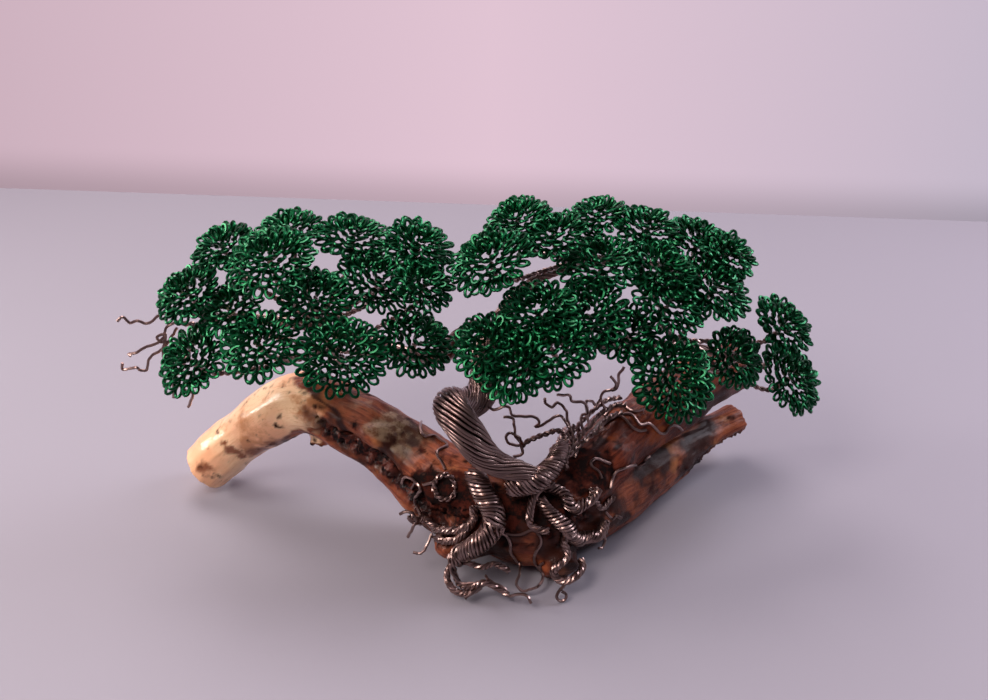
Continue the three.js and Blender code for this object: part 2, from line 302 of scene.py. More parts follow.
def weathered(wood, limbs):
    """Carves grain, knots, cracks and rot into the wood, and notes each zone in an attribute."""
    mesh = wood.data
    co = np.empty(len(mesh.vertices) * 3)
    mesh.vertices.foreach_get("co", co)
    co = co.reshape(-1, 3) / MM
    normal = np.empty(len(mesh.vertices) * 3)
    mesh.vertices.foreach_get("normal", normal)
    normal = normal.reshape(-1, 3)

    # where each point lies on its nearest limb: along it, and round it from its upper side
    near = np.full(len(co), np.inf)
    along = np.zeros(len(co))
    turn = np.zeros(len(co))
    which = np.zeros(len(co), int)
    for number, limb in enumerate(limbs[:3]):
        way = np.gradient(limb[:, :3], axis=0)
        way /= np.linalg.norm(way, axis=1)[:, None]
        length = np.r_[0, np.cumsum(np.linalg.norm(np.diff(limb[:, :3], axis=0), axis=1))]
        up = np.array([0, 0, 1.0]) - way * way[:, 2:3]
        up /= np.linalg.norm(up, axis=1)[:, None]
        side = np.cross(way, up)
        for i in range(len(limb)):
            gap = co - limb[i, :3]
            reach = np.linalg.norm(gap, axis=1) - limb[i, 3]
            closer = reach < near
            near[closer] = reach[closer]
            along[closer] = length[i] + (gap[closer] @ way[i])
            turn[closer] = np.arctan2(gap[closer] @ side[i], gap[closer] @ up[i])
            which[closer] = number
    around = np.c_[np.cos(turn), np.sin(turn)]
    grain = np.c_[along / 16 + which * 7, around * 3.2]
    fine_grain = np.c_[along / 7 + which * 5, around * 9]

    # the red wood reaches further left along the top and the underside, with a ragged edge
    ragged = turbulence_at(co / 9) * 6
    undercut = 20 * ramp_up(-normal[:, 2], 0.15, 0.75) + 12 * ramp_up(normal[:, 2], 0.75, 0.98)
    pale = 1 - ramp_up(co[:, 0] + ragged + 3 * np.sin(turn * 2) + undercut, *PALE_EDGE)
    # the trough runs along the front of the left limb and has raised lips; on the other limbs every
    # point counts as opposite to it
    waver = 0.25 * noise_at(np.c_[along / 12, turn * 0, turn * 0])
    off_trough = np.where(which == 0, turn - TROUGH_TURN + waver, math.pi)
    open_part = ramp_up(co[:, 0], *TROUGH_LEFT_EDGE) * (1 - ramp_up(co[:, 0], *TROUGH_RIGHT_EDGE))
    trough = (1 - ramp_up(np.abs(off_trough), 0.3, 0.52)) * open_part
    lips = np.exp(-((off_trough + 0.7) / 0.17) ** 2) + 0.7 * np.exp(-((off_trough - 0.7) / 0.15) ** 2)
    hollows = sum(depth * np.exp(-(((co - centre) / radii) ** 2).sum(1)) for centre, radii, depth in ROTTED)
    end_rot = (which == 2) * ramp_up(co[:, 0], *END_ROT_EDGE) * ramp_up(-normal[:, 2], -0.2, 0.4)
    rot = np.clip(trough + hollows + end_rot * 0.6, 0, 1)
    # painted shade: a ragged zone round the hollows under the roots, to be coloured near-black
    painted_shade = sum(np.exp(-((co - np.array(centre)) ** 2).sum(1) / radius ** 2) for centre, radius in PAINTED_SHADE_HOLLOWS)
    painted_shade = ramp_up(painted_shade + 0.3 * turbulence_at(co / 4), 0.12, 0.42)

    knots = np.zeros(len(co))
    swell = np.zeros(len(co))
    for centre, radius, height in KNOTS:
        away = np.linalg.norm(co - np.array(centre), axis=1) + noise_at(co / 2) * 0.5
        knots = np.maximum(knots, np.exp(-(away / radius) ** 2))
        rim = np.exp(-((away / radius - 1.3) / 0.3) ** 2)
        swell += height * np.exp(-(away / radius) ** 2) - 0.35 * height * rim

    lumps = 0.9 * turbulence_at(co / 19, 2) + 0.2 * turbulence_at(co / 7 + 9, 2) * (1 - 0.7 * pale)
    ridges = 0.3 * noise_at(grain) + 0.12 * noise_at(fine_grain)
    crack_line = np.abs(noise_at(np.c_[along / 30 + which * 3, around * 1.6] + 4))
    cracks = (1 - ramp_up(crack_line, 0.08, 0.34)) * ramp_up(noise_at(co / 13 + 7), 0.1, 0.6) * (1 - pale)
    crumble = turbulence_at(co / 2.6 + 3, 5)
    push = lumps + ridges * (1 - 0.7 * pale) - 0.5 * cracks + swell + 1.1 * lips * open_part
    push -= rot * (2.4 + 2.0 * crumble)
    # nothing is carved close to the table, so that the wood stands flat
    seat = ramp_up(co[:, 2], 0.5, 3.5)
    moved = co + normal * (push * seat)[:, None]
    mesh.vertices.foreach_set("co", (moved * MM).ravel())
    mesh.update()

    ridge = 0.8 * np.exp(-((co[:, 0] - RIDGE_MIDDLE) / RIDGE_LENGTH) ** 2)
    stain = np.zeros(len(co))
    for centre, radius in STAINS:
        away = np.linalg.norm((co - np.array(centre)) * (0.8, 1, 1.2), axis=1) + turbulence_at(co / 3) * 1.4
        stain = np.maximum(stain, 1 - ramp_up(away, radius * 0.4, radius))
    zones = {"pale": pale, "rot": rot, "knot": knots, "crack": cracks, "ridge": ridge, "stain": stain,
             "painted_shade": painted_shade}
    for name, values in zones.items():
        mesh.attributes.new(name, "FLOAT", "POINT").data.foreach_set("value", values.astype(np.float32))
    grain_lines = np.c_[along, around * 12].astype(np.float32)
    mesh.attributes.new("grain", "FLOAT_VECTOR", "POINT").data.foreach_set("vector", grain_lines.ravel())
    limb_tint = (which == 1) * 1.0 + (which == 2) * 0.5
    mesh.attributes.new("limb", "FLOAT", "POINT").data.foreach_set("value", limb_tint.astype(np.float32))


def stand_flat(wood):
    """Saws the wood off along the table."""
    bpy.ops.object.select_all(action="DESELECT")
    wood.select_set(True)
    bpy.context.view_layer.objects.active = wood
    bpy.ops.object.mode_set(mode="EDIT")
    bpy.ops.mesh.select_all(action="SELECT")
    bpy.ops.mesh.bisect(plane_co=(0, 0, 0), plane_no=(0, 0, 1), use_fill=True, clear_inner=True,
                        threshold=0.001 * MM)
    bpy.ops.object.mode_set(mode="OBJECT")
    bpy.ops.object.shade_smooth_by_angle(angle=math.radians(60))


def varnished_driftwood():
    """Weathered root wood under varnish, glossiest on the pale wood, with dull rot and painted near-black
    shade in the hollows.
    """
    material, tree, shader = new_material("varnished_driftwood")

    def zone(name, output="Fac"):
        return node(tree, "ShaderNodeAttribute", attribute_name=name).outputs[output]

    def blend(factor, a, b, mode="MIX"):
        mix = node(tree, "ShaderNodeMix", {"Factor": factor}, data_type="RGBA", blend_type=mode)
        for socket, value in (("A", a), ("B", b)):
            if isinstance(value, str):
                mix.inputs[socket].default_value = linear(value)
            else:
                tree.links.new(value, mix.inputs[socket])
        return mix.outputs["Result"]

    def span(value, low, high):
        return node(tree, "ShaderNodeMapRange",
                    {"Value": value, "From Min": low, "From Max": high}, interpolation_type="SMOOTHSTEP"
                    ).outputs["Result"]

    place = node(tree, "ShaderNodeTexCoord").outputs["Object"]
    grain = zone("grain", "Vector")
    coarse = node(tree, "ShaderNodeMapping", {"Vector": grain, "Scale": (0.09, 0.55, 0.55)}).outputs["Vector"]
    streaks = node(tree, "ShaderNodeTexNoise", {"Vector": coarse, "Scale": 1.0, "Detail": 6.0,
                                                "Roughness": 0.62, "Distortion": 0.6}).outputs["Fac"]
    fine = node(tree, "ShaderNodeMapping", {"Vector": grain, "Scale": (0.25, 2.6, 2.6)}).outputs["Vector"]
    fibres = node(tree, "ShaderNodeTexNoise", {"Vector": fine, "Scale": 1.0, "Detail": 4.0,
                                               "Roughness": 0.7}).outputs["Fac"]
    blotch = node(tree, "ShaderNodeTexNoise", {"Vector": place, "Scale": 62.0, "Detail": 5.0,
                                               "Roughness": 0.6}).outputs["Fac"]
    fleck = node(tree, "ShaderNodeTexNoise", {"Vector": place, "Scale": 260.0, "Detail": 3.0,
                                              "Roughness": 0.7}).outputs["Fac"]
    patches = node(tree, "ShaderNodeTexNoise", {"Vector": place, "Scale": 34.0, "Detail": 4.0,
                                                "Roughness": 0.55}).outputs["Fac"]
    heart = blend(span(streaks, 0.36, 0.62), "#6a3020", "#a05636")
    heart = blend(span(blotch, 0.54, 0.66), heart, "#b27044")
    heart = blend(span(patches, 0.48, 0.6), heart, "#34170e")
    heart = blend(span(fibres, 0.6, 0.74), heart, "#2a0f0b")
    upper = blend(span(streaks, 0.4, 0.62), "#4c1e13", "#7f3c27")
    upper = blend(span(blotch, 0.55, 0.68), upper, "#8f461f")
    upper = blend(span(patches, 0.52, 0.66), upper, "#2c110d")
    heart = blend(span(zone("limb"), 0.6, 0.9), heart, upper)
    sap = blend(span(patches, 0.38, 0.6), "#ffd6a8", "#f5b78a")
    sap = blend(span(streaks, 0.5, 0.75), sap, "#eab082")
    sap = blend(span(blotch, 0.52, 0.64), sap, "#d3915f")
    sap = blend(span(fibres, 0.56, 0.74), sap, "#cf9667")
    sap = blend(zone("stain"), sap, "#8a5030")
    colour = blend(zone("pale"), heart, sap)
    normal = node(tree, "ShaderNodeNewGeometry").outputs["Normal"]
    upward = node(tree, "ShaderNodeSeparateXYZ", {"Vector": normal}).outputs["Z"]
    silver = node(tree, "ShaderNodeMath", {0: span(upward, 0.5, 0.95), 1: span(blotch, 0.4, 0.56)},
                  operation="MULTIPLY").outputs["Value"]
    silver = node(tree, "ShaderNodeMath", {0: silver, 1: zone("ridge")},
                  operation="MULTIPLY").outputs["Value"]
    colour = blend(silver, colour, blend(span(fleck, 0.4, 0.6), "#6b4a34", "#a08668"))
    # painted shade: the hollows under the roots are coloured near-black, flecked with dark brown
    colour = blend(zone("painted_shade"), colour, blend(span(fleck, 0.42, 0.62), "#0f0302", "#3d150c"))
    rotten = blend(span(fleck, 0.42, 0.6), "#150706", "#5a2a20")
    colour = blend(zone("rot"), colour, rotten)
    colour = blend(span(zone("knot"), 0.25, 0.75), colour, "#1d0c07")
    colour = blend(span(zone("crack"), 0.3, 1.0), colour, "#2a0f0a")
    tree.links.new(colour, shader.inputs["Base Color"])

    gloss = node(tree, "ShaderNodeMapRange", {"Value": fleck, "From Min": 0.3, "From Max": 0.7,
                                              "To Min": 0.3, "To Max": 0.5}).outputs["Result"]
    dull = node(tree, "ShaderNodeMath", {0: zone("rot"), 1: 0.25, 2: gloss}, operation="MULTIPLY_ADD")
    # rougher where the shade is painted
    rough_in_painted_shade = node(tree, "ShaderNodeMath", {0: zone("painted_shade"), 1: 0.4, 2: dull.outputs["Value"]},
                 operation="MULTIPLY_ADD", use_clamp=True)
    tree.links.new(rough_in_painted_shade.outputs["Value"], shader.inputs["Roughness"])
    shader.inputs["Specular IOR Level"].default_value = 0.12
    # and no varnish coat where the shade is painted
    outside_painted_shade = node(tree, "ShaderNodeMath", {0: 1.0, 1: zone("painted_shade")}, operation="SUBTRACT", use_clamp=True)
    varnish = node(tree, "ShaderNodeMapRange", {"Value": zone("pale"), "To Min": 0.25, "To Max": 0.9})
    sheen = node(tree, "ShaderNodeMath", {0: outside_painted_shade.outputs["Value"], 1: varnish.outputs["Result"]},
                 operation="MULTIPLY")
    tree.links.new(sheen.outputs["Value"], shader.inputs["Coat Weight"])
    shader.inputs["Coat Roughness"].default_value = 0.15
    relief = node(tree, "ShaderNodeMath", {0: fibres, 1: 0.6, 2: fleck}, operation="MULTIPLY_ADD")
    keen = node(tree, "ShaderNodeMapRange", {"Value": zone("pale"), "To Min": 0.4, "To Max": 0.12})
    bump = node(tree, "ShaderNodeBump", {"Height": relief.outputs["Value"],
                                         "Strength": keen.outputs["Result"], "Distance": 0.8 * MM})
    for socket in ("Normal", "Coat Normal"):
        tree.links.new(bump.outputs["Normal"], shader.inputs[socket])
    return material


driftwood, limb_lines = rough_wood()
weathered(driftwood, limb_lines)
stand_flat(driftwood)
fit(driftwood, varnished_driftwood(), "driftwood", "driftwood")

# ------------------------------------------------------------------ trunk
# All the tree's wires in one bunch. It leaves the fork of the branches, drops behind itself, curls over
# to the left and sweeps down across the front to the root crown.
WIRE = 1.15
NECK = [
    (11, 11, 80, 4.4), (7, 7, 73, 5.0), (7, 3, 65, 5.4), (5, -1, 58, 5.6), (0, -7, 57.5, 5.8),
    (-3.5, -13, 61, 5.9), (-5.5, -19, 65, 5.9), (-5, -25, 66.5, 5.9), (-2, -29.5, 64.5, 5.8),
    (2, -32, 59.5, 5.6), (6, -33, 53.5, 5.0), (12, -33, 48.5, 4.1), (19, -32.5, 45.5, 3.4),
    (25, -32, 42.5, 2.8), (29, -31, 39, 2.2)]
TRUNK_STRANDS = 22
TRUNK_LAY = -66
CORE_STRANDS = 18
CORE_WIRE = WIRE * 1.3
LOOSENESS = 0.08
PAIR_LAY = 5
FULL_TURN = 6.28  # radians, near enough for a handmade thing
SPARE = random.Random(7)


def carried_frames(path):
    """For each point of a path, two directions across it that turn as little as they can."""
    way = np.gradient(path[:, :3], axis=0)
    way /= np.linalg.norm(way, axis=1)[:, None]
    first = np.cross(way[0], (0.12, 0.31, 0.94))
    first /= np.linalg.norm(first)
    ups = [first]
    for tangent in way[1:]:
        up = ups[-1] - tangent * (ups[-1] @ tangent)
        ups.append(up / np.linalg.norm(up))
    ups = np.array(ups)
    return ups, np.cross(way, ups)


def laid(path, count, radius, lay, thickness=WIRE):
    """Strands laid on a tube round a path, once round in every `lay`. With None for a radius they follow
    the path's own, and the strands that find no room where it narrows sink inside."""
    ups, sides = carried_frames(path)
    length = np.r_[0, np.cumsum(np.linalg.norm(np.diff(path[:, :3], axis=0), axis=1))]
    spread = path[:, 3] if radius is None else np.full(len(path), float(radius))
    # how many strands there is room for at each point, and how far each one has sunk for want of it
    room = 2 * math.pi * spread / (thickness * 1.08) / np.hypot(1, 2 * math.pi * spread / lay)
    sunk = np.clip((np.arange(count)[:, None] * 0.618 % 1 * count - room) / 2, 0, 1) * (radius is None)
    place = (np.cumsum(1 - sunk, axis=0) - (1 - sunk) / 2) / (1 - sunk).sum(axis=0)
    strands = []
    for number in range(count):
        drift = SPARE.uniform(-1, 1) * LOOSENESS
        swing = SPARE.uniform(0, FULL_TURN)
        angle = 2 * math.pi * (place[number] + length / lay) + drift * np.sin(length / 7 + swing)
        lift = spread + LOOSENESS * 0.8 * thickness * np.sin(length / 5 + swing * 2)
        lift = np.maximum(lift - sunk[number] * thickness * 1.1, 0)
        ring = ups * (lift * np.cos(angle))[:, None] + sides * (lift * np.sin(angle))[:, None]
        strands.append(path[:, :3] + ring)
    return strands


def snug(count):
    """Radius on which that many strands lie side by side."""
    return WIRE / 2 / math.sin(math.pi / count) if count > 1 else 0.0


def twisted_pair(route, step):
    """Two wires twisted together along a route."""
    return laid(smooth(route, step), 2, snug(2), PAIR_LAY)


def coloured_wire(name, body, shine, rough, coat):
    """Drawn aluminium wire with a coloured enamel: plain metal gloss, slightly mottled by handling."""
    material, tree, shader = new_material(name)
    place = node(tree, "ShaderNodeTexCoord").outputs["Object"]
    tone = node(tree, "ShaderNodeTexNoise", {"Vector": place, "Scale": 90.0, "Detail": 3.0}).outputs["Fac"]
    mix = node(tree, "ShaderNodeMix", {"Factor": tone}, data_type="RGBA")
    mix.inputs["A"].default_value = linear(body)
    mix.inputs["B"].default_value = linear(shine)
    tree.links.new(mix.outputs["Result"], shader.inputs["Base Color"])
    marks = node(tree, "ShaderNodeTexNoise", {"Vector": place, "Scale": 240.0, "Detail": 3.0})
    wear = node(tree, "ShaderNodeMapRange", {"Value": marks.outputs["Fac"], "From Min": 0.3, "From Max": 0.7,
                                             "To Min": rough - 0.03, "To Max": rough + 0.05})
    tree.links.new(wear.outputs["Result"], shader.inputs["Roughness"])
    shader.inputs["Metallic"].default_value = 1.0
    shader.inputs["Coat Weight"].default_value = coat
    shader.inputs["Coat Roughness"].default_value = 0.2
    return material


brown_wire = coloured_wire("bronze_brown_enamelled_wire", "#745c56", "#957b74", 0.29, 0.5)
# The wires inside the bunch show only through the gaps. They are the same brown wire, coloured near-black and
# matt as painted shade in those gaps.
painted_shade_wire = coloured_wire("inner_wire_painted_shade", "#1f1412", "#2c1e1a", 0.5, 0.0)
trunk_path = smooth(NECK, 1.2)
trunk = rods("trunk_bunch", laid(trunk_path, TRUNK_STRANDS, None, TRUNK_LAY), WIRE, 2)
core_path = trunk_path.copy()
core_path[:, 3] = np.maximum(core_path[:, 3] - WIRE * 1.5, 0.3)
core_wires = laid(core_path, CORE_STRANDS, None, TRUNK_LAY * 1.3, CORE_WIRE)
core = rods("trunk_inner_wires", core_wires, CORE_WIRE, 1)
fit(trunk, brown_wire, "brown_wire", "trunk_sweep", "trunk_neck")
fit(core, painted_shade_wire, "brown_wire")

# ------------------------------------------------------------------ main branches
# The bunch divides at the fork into three ropes. The left one thickens where it dips, and all three
# narrow towards their tips, under the rosettes.
INNER_STRANDS = 4
INNER_SHARE = 0.35
BRANCHES = {  # name: node, strands, lay and path
    "left_branch": ("branch_left", 10, 26, [
        (9, 10, 80, 1.9), (4, 12, 81, 1.3), (-2, 12, 78, 1.5), (-6, 12.5, 73.5, 2.0), (-8, 14, 68, 2.9),
        (-13, 17, 64, 2.7), (-25, 20, 64, 2.0), (-45, 23, 69, 1.8), (-66, 23, 75, 1.6), (-88, 21, 79, 1.2),
        (-102, 18, 80, 0.9)]),
    "right_branch": ("branch_right", 8, 22, [
        (11, 11, 80, 2.2), (16, 13, 77, 1.9), (30, 17, 72, 1.7), (51, 18, 69, 1.6), (75, 21, 67, 1.4),
        (100, 23, 62, 1.2), (118, 22, 56, 0.9)]),
    "back_branch": ("branch_back", 8, 22, [
        (11, 11, 80, 2.2), (12, 14, 83, 2.0), (21, 23, 90, 1.7), (36, 29, 96, 1.5), (59, 32, 98, 1.3),
        (84, 33, 93, 1.0)]),
}
for name, (cad_node, count, lay, stations) in BRANCHES.items():
    path = smooth(stations, 1.2)
    inner = path.copy()
    inner[:, 3] *= INNER_SHARE
    branch = rods(name, laid(path, count, None, lay) + laid(inner, INNER_STRANDS, None, lay), WIRE, 1)
    fit(branch, brown_wire, "brown_wire", cad_node)

# ------------------------------------------------------------------ roots
# Ropes of wire leave the root crown, grip the wood and wrap its crook and spur. Each is twisted from a
# few of the trunk's wires and pressed down onto the varnish.
SEATED = WIRE * 0.45  # from the wood to the middle of a wire that rests on it
HUG_REACH = 2.5  # a hugging rope is drawn down onto the wood from this far above it
CLEAR_ONLY = -0.2  # the others are only lifted out where they would run inside it
wood_skin = BVHTree.FromObject(driftwood, bpy.context.evaluated_depsgraph_get())


def hugging(path, gap, reach):
    """Moves the points of a path that are less than `gap + reach` above the wood to `gap` above it, and
    smooths the result."""
    path = path.copy()
    for i, point in enumerate(path[:, :3]):
        spot, normal, _, _ = wood_skin.find_nearest(Vector(point) * MM)
        height = (Vector(point) - spot / MM).dot(normal)
        if height < gap + reach:
            path[i, :3] = np.array(spot / MM + normal * gap)
    for _ in range(3):
        path[1:-1, :3] = (path[:-2, :3] + 2 * path[1:-1, :3] + path[2:, :3]) / 4
    path[:, 2] = np.maximum(path[:, 2], gap)
    return path


def rope(points, count, lay, hug):
    """A twisted rope of that many wires along a route. A fourth value in its points is its own radius."""
    path = smooth(points, 0.7)
    radius = None if len(points[0]) > 3 else snug(count)
    thick = path[:, 3].mean() if radius is None else radius
    path = hugging(path, thick * 0.9 + SEATED, HUG_REACH if hug else CLEAR_ONLY)
    if count == 1:
        return [path[:, :3]]
    return laid(path, count, radius, lay)


ROOTS = {  # name: node, then strands, lay, whether it hugs the wood and route for each rope
    "coil_root": ("root_coil", [
        (8, -10.5, False, [(3, -29, 43, 3.4), (4.5, -33, 40, 3.6), (7.5, -36, 35.5, 3.8),
                           (10, -39.5, 31, 3.8), (8.5, -43, 26, 3.7), (3.5, -44.5, 21.5, 3.5),
                           (-1, -43, 17, 3.1), (-4, -39, 13, 2.8)])]),
    "crown_ropes": ("root_belt", [
        (9, 11, False, [(15, -33, 38.5, 3.0), (19.5, -33.5, 40, 3.8), (24.5, -33, 41.3, 3.9),
                        (29.5, -29.5, 43.2, 3.6), (32.6, -25, 44.5, 3.2), (34.5, -19, 45, 2.7),
                        (35.5, -15, 44, 1.8)]),
        (6, -8.5, True, [(27, -34, 35, 1.6), (29.5, -37, 31, 2.1), (33, -38, 27.5, 2.4),
                         (36.5, -37.5, 23, 2.4), (40.5, -35.5, 18, 2.3), (45, -32.5, 13.5, 2.1),
                         (49, -29, 12.5, 1.9), (51, -26, 15, 1.5), (50, -23, 17, 1.1)]),
    ]),
    "side_roots": ("root_side", [
        (5, -8, True, [(26, -29, 39, 1.0), (30, -28.5, 36.5, 1.5), (34.5, -28.5, 33, 1.9),
                       (38, -31.5, 29.5, 2.0), (42, -32, 27.5, 1.8), (46, -28.5, 28, 1.6),
                       (49, -24, 31, 1.0)]),
        (5, -9, True, [(31.5, -29, 37), (27, -32, 38), (24, -35, 35), (23, -38, 32), (23, -40, 28.5),
                       (25.5, -41, 25.5), (30, -41, 25)]),
        (3, -6, True, [(46, -23.5, 31), (47, -25, 27), (51, -22.5, 21), (53, -19.5, 22), (55, -17.5, 22)]),
    ]),
    "spur_root": ("root_spur", [
        (5, -8, False, [(35, -37, 20), (36, -40, 17.5), (36.5, -43, 14.5), (34.5, -45, 13.5),
                        (32, -46.5, 12.5), (32, -47, 9), (35.5, -48, 7.5), (40, -46, 8.5),
                        (42.5, -42, 9), (42, -39, 10)]),
        (1, 1, False, [(36, -47.5, 9.5), (35.5, -49, 6.5), (33.5, -50, 4.8), (32.5, -51, 2.6),
                       (34, -51.5, 1), (36, -51, 1.6), (36.3, -50.5, 3.8), (34.5, -50, 4.6)]),
    ]),
    "fan_roots": ("root_fan", [
        (2, -5.5, False, [(33, -21, 44), (37, -12, 44.5), (42, -4, 46), (48, 3, 48), (54, 9, 49),
                          (60, 14, 47)]),
        (2, -5.5, False, [(34, -21, 42.5), (40, -11, 43), (46, -3, 44.5), (51, 3, 46.5), (57, 9, 46.5),
                          (62, 12, 45)]),
        (2, -5.5, False, [(35, -21, 41), (42, -10, 41), (49, -3, 42.5), (54, 3, 44.5), (60, 8, 44)]),
        (3, -7, True, [(30, -24, 40), (30.5, -16, 38), (33, -8, 38), (36, 0, 38), (38, 8, 36)]),
        (2, -4.5, False, [(42, -3, 44), (42, -7, 42), (41, -11, 40), (40, -14, 38)]),
        (2, -4.5, False, [(40, -6, 47), (36.5, -12, 46), (36.5, -17, 43), (36.5, -20, 40.5),
                          (37, -21, 37.5)]),
        (3, -6, True, [(29, -22, 38), (28.5, -15, 37), (31, -10, 38), (34, -7, 39)]),
    ]),
    "left_roots": ("root_left", [
        (6, -8, True, [(3, -33, 30), (2, -37.5, 26.5), (-3, -37, 22.5), (-9, -35, 21), (-14, -30, 17),
                       (-18, -30, 19), (-21, -30, 23)]),
        (5, -7.5, True, [(0, -38, 22.5), (-4, -38, 18.5), (-9, -36, 16.5), (-13, -34, 18)]),
    ]),
    "toe_roots": ("root_toe", [
        (4, -7, False, [(-2, -40, 13), (-6, -44, 11), (-7, -47, 7), (-3, -50, 4), (3, -50, 5),
                        (6, -49, 8)]),
        (3, -6, False, [(-3, -42, 13), (0, -45, 14), (6, -46, 12.5), (10.5, -47, 15), (15.5, -47, 11.5)]),
        (3, -6, False, [(-5, -43, 10), (-3, -47, 6), (1, -50, 6.5), (6, -50, 9), (10, -50, 7),
                        (15, -51, 4)]),
    ]),
    "ring_root": ("root_ring", [
        (2, -5, False, [(-4, -28, 34), (-5.5, -25, 37), (-8, -24.5, 38), (-11, -25, 36.5), (-12, -27, 33.5),
                        (-10, -29.5, 31), (-6, -30.5, 31.5), (-4, -28.5, 33.5)]),
    ]),
}
for name, (cad_node, ropes) in ROOTS.items():
    strands = []
    for count, lay, hug, route in ropes:
        strands += rope(route, count, lay, hug)
    root = rods(name, strands, WIRE, 1)
    fit(root, brown_wire, "brown_wire", cad_node)

# ------------------------------------------------------------------ crinkled ends
# Single wires that run out from the roots. Their ends are left free and bent to and fro with pliers,
# some lying on the wood and some standing up from it. One twisted pair ends in a small loop.
KINK = 0.32
KINK_LENGTH = 2.3
LYING_ENDS = [
    [(-8, -21, 38), (-8.5, -19.5, 38.5), (-11, -16, 40), (-11.5, -14, 40.5), (-8.5, -10, 40),
     (-8, -7.5, 40), (-10.5, -6, 40.5), (-12.5, -4.5, 41.5), (-15.5, -7.5, 43), (-17.5, -6.5, 43.5),
     (-18.5, -3.5, 44), (-18.5, 3, 42.5)],
    [(-16, -31, 17), (-18, -25.5, 20.5), (-20, -25, 23.5), (-20, -24, 26.5), (-17.5, -25, 30),
     (-17.5, -24, 31.5), (-19, -22.5, 32.5), (-22.5, -22, 29.5)],
    [(-19, -22.5, 32.5), (-21, -21, 33.5), (-24, -20.5, 32.5), (-24.5, -20.5, 29.5)],
    [(-10, -22.5, 36), (-12, -24.5, 34.5), (-16, -24, 33)],
    [(50, -19, 32), (49, -17.5, 34.5), (46.5, -17, 36), (46, -15.5, 37), (48.5, -13.5, 37.5),
     (52, -13.5, 36), (54, -13, 34.5)],
    [(53, -18.5, 27), (54.5, -16.5, 29.5), (57, -13.5, 31.5), (62.5, -10, 31.5), (67, 1.5, 23),
     (69, 4.5, 22.5), (69.5, 2.5, 25.5), (71.5, 4.5, 25.5)],
    [(52, 3, 43), (56, 6.5, 42), (61, 8.5, 43), (64, 8, 42.5), (67, 4.5, 40.5), (70.5, 7, 39.5),
     (72.5, 6.5, 38), (75.5, 7, 34.5), (78, 9, 34), (79, 10, 36), (82, 12, 35.5), (85.5, 15, 31)],
    [(54, 6, 43), (58, 8.5, 42.5), (61, 5.5, 42), (64.5, 2.5, 40), (67, 3, 38.5), (69.5, 4.5, 38)],
    [(53, 9, 43), (58, 15, 42.5), (61, 14.5, 43), (64, 10, 43.5), (66.5, 10, 43), (69, 11, 43.5)],
]
FRONT_ENDS = [
    [(11, -40, 25), (14.5, -40.5, 22), (16, -40.5, 18.5), (16, -40, 14.5), (19, -38.5, 9),
     (19.5, -44, 7), (18, -46, 5), (20, -48, 3), (23, -48, 3.5), (27, -46, 4.5), (28, -42, 6),
     (27, -40, 8.5), (28.5, -41, 10.5)],
    [(14, -40, 23), (16, -40, 22.5), (20, -40, 22.5), (24, -39, 24), (26.5, -39.5, 22), (27, -40.5, 18.5),
     (25, -40, 14.5), (25, -39, 9.5), (26.5, -42, 6)],
]
STANDING_ENDS = {
    "upright_ends": ("tip_upright", [
        [(50, 3, 46), (52.5, 3, 49), (51, 2.5, 52.5), (51, 2.5, 55.5), (52.5, 2, 57.5), (54.5, 2, 58),
         (56, 1.5, 60.5), (55, 1.5, 63), (54, 1, 64.5)],
        [(54.5, 1, 58.5), (56, 1.5, 59), (57, 2, 61.5), (57, 2.5, 64.5), (59, 3, 67.5)],
        [(46, -4, 46), (45, -3, 52), (45, -2, 55.5), (47, -0.5, 54.5), (49, 1, 52), (51, 2, 54.5)],
        [(44, -8, 44), (43, -5, 51), (45, -6.5, 53), (43.5, -8, 58.5), (39, -9, 60),
         (37.5, -10.5, 63.5), (33, -12, 64.5)],
        [(40, -12, 45), (37.5, -9, 51.5), (36.5, -10, 57), (33, -11, 60.5), (31.5, -12, 59.5),
         (29, -13, 61.5), (28.5, -14, 64.5)],
    ]),
    "looped_ends": ("tip_loop", [
        [(20.5, -16, 45), (17.5, -16.5, 45.5), (15, -17, 47.5), (14.5, -17, 50), (16, -17.5, 51.5),
         (19, -18, 50), (20.5, -16.5, 46)],
        [(20.5, -16, 45.5), (19, -16, 47.5), (18, -15.5, 49), (17.5, -15, 53), (17, -14.5, 56),
         (13.5, -14, 56.5)],
        [(20, -16, 46), (20.5, -17.5, 42.5), (17, -19, 42)],
        [(7, -5, 56), (10, -8, 55.5), (13.5, -8, 57), (15.5, -8, 56.5), (17, -8.5, 53.5),
         (22, -8.5, 53), (25.5, -8.5, 52.5), (27, -8.5, 50), (25.5, -8.5, 48.5), (28.5, -9, 49.5),
         (30.5, -9, 51.5), (34.5, -9, 53.5), (38, -12, 50)],
    ]),
    "toe_ends": ("tip_front", [
        [(-6, -45, 11), (-5, -44, 14), (-5.5, -46, 11), (-2.5, -48, 7), (3.5, -49, 7.5)],
        [(6.5, -48, 10.5), (9, -49, 8), (13.5, -50, 6.5), (15.5, -51.5, 4), (18.5, -53, 6),
         (22, -54.5, 6.5), (23, -56, 4.5)],
        [(8, -49, 8.5), (4, -51, 6.5), (-0.5, -53, 4)],
        [(-18, -31, 20), (-20, -33, 27), (-22, -33, 27.5), (-24.5, -33, 26.5)],
        [(-17, -31, 20), (-19, -34, 22.5), (-20.5, -34, 19.5), (-22, -34, 16.5)],
        [(-13, -33, 17), (-15.5, -36, 12.5), (-17.5, -36, 10.5), (-20, -36, 11)],
        [(50, -28, 14), (52, -27, 10), (51, -29, 7), (49.5, -30, 8)],
        [(52, -24, 20), (55, -24, 17), (56, -25, 19), (58, -25, 18)],
    ]),
}
